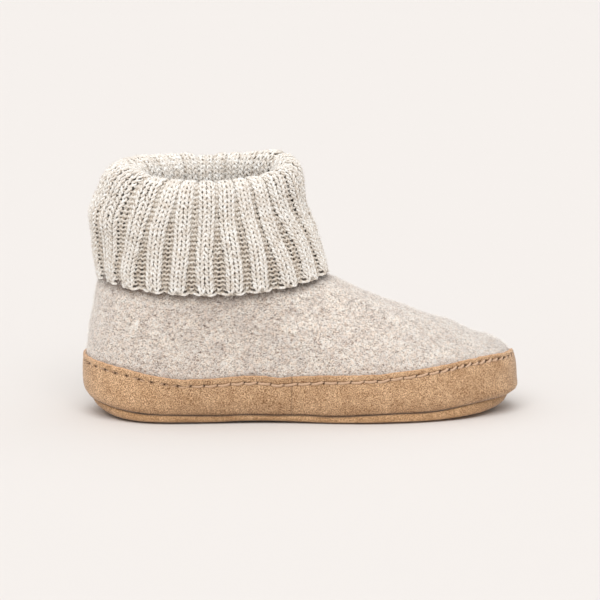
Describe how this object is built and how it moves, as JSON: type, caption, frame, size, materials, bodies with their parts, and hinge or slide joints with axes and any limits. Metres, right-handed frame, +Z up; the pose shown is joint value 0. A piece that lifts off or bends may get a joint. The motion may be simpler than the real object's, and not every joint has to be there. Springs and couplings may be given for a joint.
{
  "type": "ankle slipper",
  "caption": "Felt ankle slipper with a folded rib-knit cuff, a top-stitched suede rand around the foot and a thin suede outsole.",
  "frame": {"origin": "on the floor under the middle of the slipper's box", "axes": "+X to the toe, +Y to the inner side of the right foot, +Z up"},
  "size_m": [0.263, 0.1021, 0.1526],
  "materials": {
    "felt": "boiled wool felt, fuzzy and mottled",
    "knit": "chunky rib knit of mottled wool yarn",
    "suede": "tan suede with a short nap",
    "sole_suede": "tan suede, darker at the edge",
    "footbed": "wool felt"
  },
  "bodies": {
    "root": {"upper": "felt", "cuff": "knit", "rand_front": "suede", "rand_rear": "suede", "outsole": "sole_suede", "insole": "footbed"}
  },
  "joints": []
}
